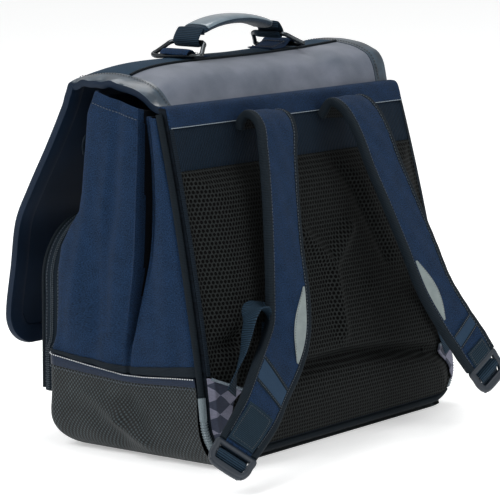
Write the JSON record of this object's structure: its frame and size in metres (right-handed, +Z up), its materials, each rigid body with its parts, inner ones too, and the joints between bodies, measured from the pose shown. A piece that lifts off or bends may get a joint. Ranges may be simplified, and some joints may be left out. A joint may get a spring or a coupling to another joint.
{
  "type": "school satchel backpack",
  "caption": "Padded school satchel with a rigid back, open pleated sides, a hanging front flap, a top handle, a soft boot base and adjustable shoulder straps.",
  "frame": {"origin": "centre of the flat base, on the floor", "axes": "+Z up, +Y out of the padded back, -Y out of the flap's front, +X to the wearer's right"},
  "size_m": [0.4456, 0.3723, 0.3926],
  "materials": {
    "navy_cloth": "woven navy polyester",
    "trim_cloth": "slate blue cloth with a white stitch line",
    "base_cloth": "coarse charcoal ballistic cloth",
    "air_mesh": "black air mesh over foam",
    "grey_cloth": "smooth grey cloth",
    "check_cloth": "grey and navy check cloth",
    "lining_cloth": "dark lining",
    "slate_webbing": "ribbed slate blue webbing",
    "dark_binding": "dark slate ribbon",
    "glossy_binding": "glossy slate blue leatherette",
    "handle_leatherette": "glossy pale leatherette",
    "reflective_tape": "silver grey reflective film",
    "hard_plastic": "dark slate moulded plastic",
    "dark_metal": "dark polished steel"
  },
  "bodies": {
    "root": {"gusset_left": "navy_cloth", "gusset_right": "navy_cloth", "front_panel": "navy_cloth", "divider": "navy_cloth", "back_panel": "navy_cloth", "top_facing": "navy_cloth", "flap_front_panel": "navy_cloth", "flap_lower_panel": "navy_cloth", "front_pocket": "navy_cloth", "handle_anchor_left": "navy_cloth", "handle_anchor_right": "navy_cloth", "strap_pad_left": "navy_cloth", "strap_pad_right": "navy_cloth", "handle_grip": "navy_cloth", "base_trim": "trim_cloth", "base_boot": "base_cloth", "mesh_pad": "air_mesh", "strap_lining_left": "air_mesh", "strap_lining_right": "air_mesh", "flap_rear_panel": "grey_cloth", "corner_gore_left": "check_cloth", "corner_gore_right": "check_cloth", "flap_lining": "lining_cloth", "flap_top_strip": "slate_webbing", "yoke_band": "slate_webbing", "pad_edging_left": "slate_webbing", "pad_edging_right": "slate_webbing", "handle_tab_left": "slate_webbing", "handle_tab_right": "slate_webbing", "strap_webbing_left": "slate_webbing", "strap_webbing_right": "slate_webbing", "webbing_patch_left": "slate_webbing", "webbing_patch_right": "slate_webbing", "strap_label_left": "slate_webbing", "strap_label_right": "slate_webbing", "back_piping_left": "dark_binding", "back_piping_right": "dark_binding", "bottom_binding": "dark_binding", "strap_binding_outer_left": "dark_binding", "strap_binding_outer_right": "dark_binding", "strap_binding_inner_left": "dark_binding", "strap_binding_inner_right": "dark_binding", "pocket_zip": "dark_binding", "pocket_piping": "dark_binding", "flap_binding": "glossy_binding", "handle_grip_top": "handle_leatherette", "corner_tube_left": "reflective_tape", "corner_tube_right": "reflective_tape", "strap_reflector_left": "reflective_tape", "strap_reflector_right": "reflective_tape", "strap_buckle_left": "hard_plastic", "strap_buckle_right": "hard_plastic", "flap_clasp_left": "hard_plastic", "flap_clasp_right": "hard_plastic", "handle_ring_left": "dark_metal", "handle_ring_right": "dark_metal", "zip_slider": "dark_metal"}
  },
  "joints": []
}
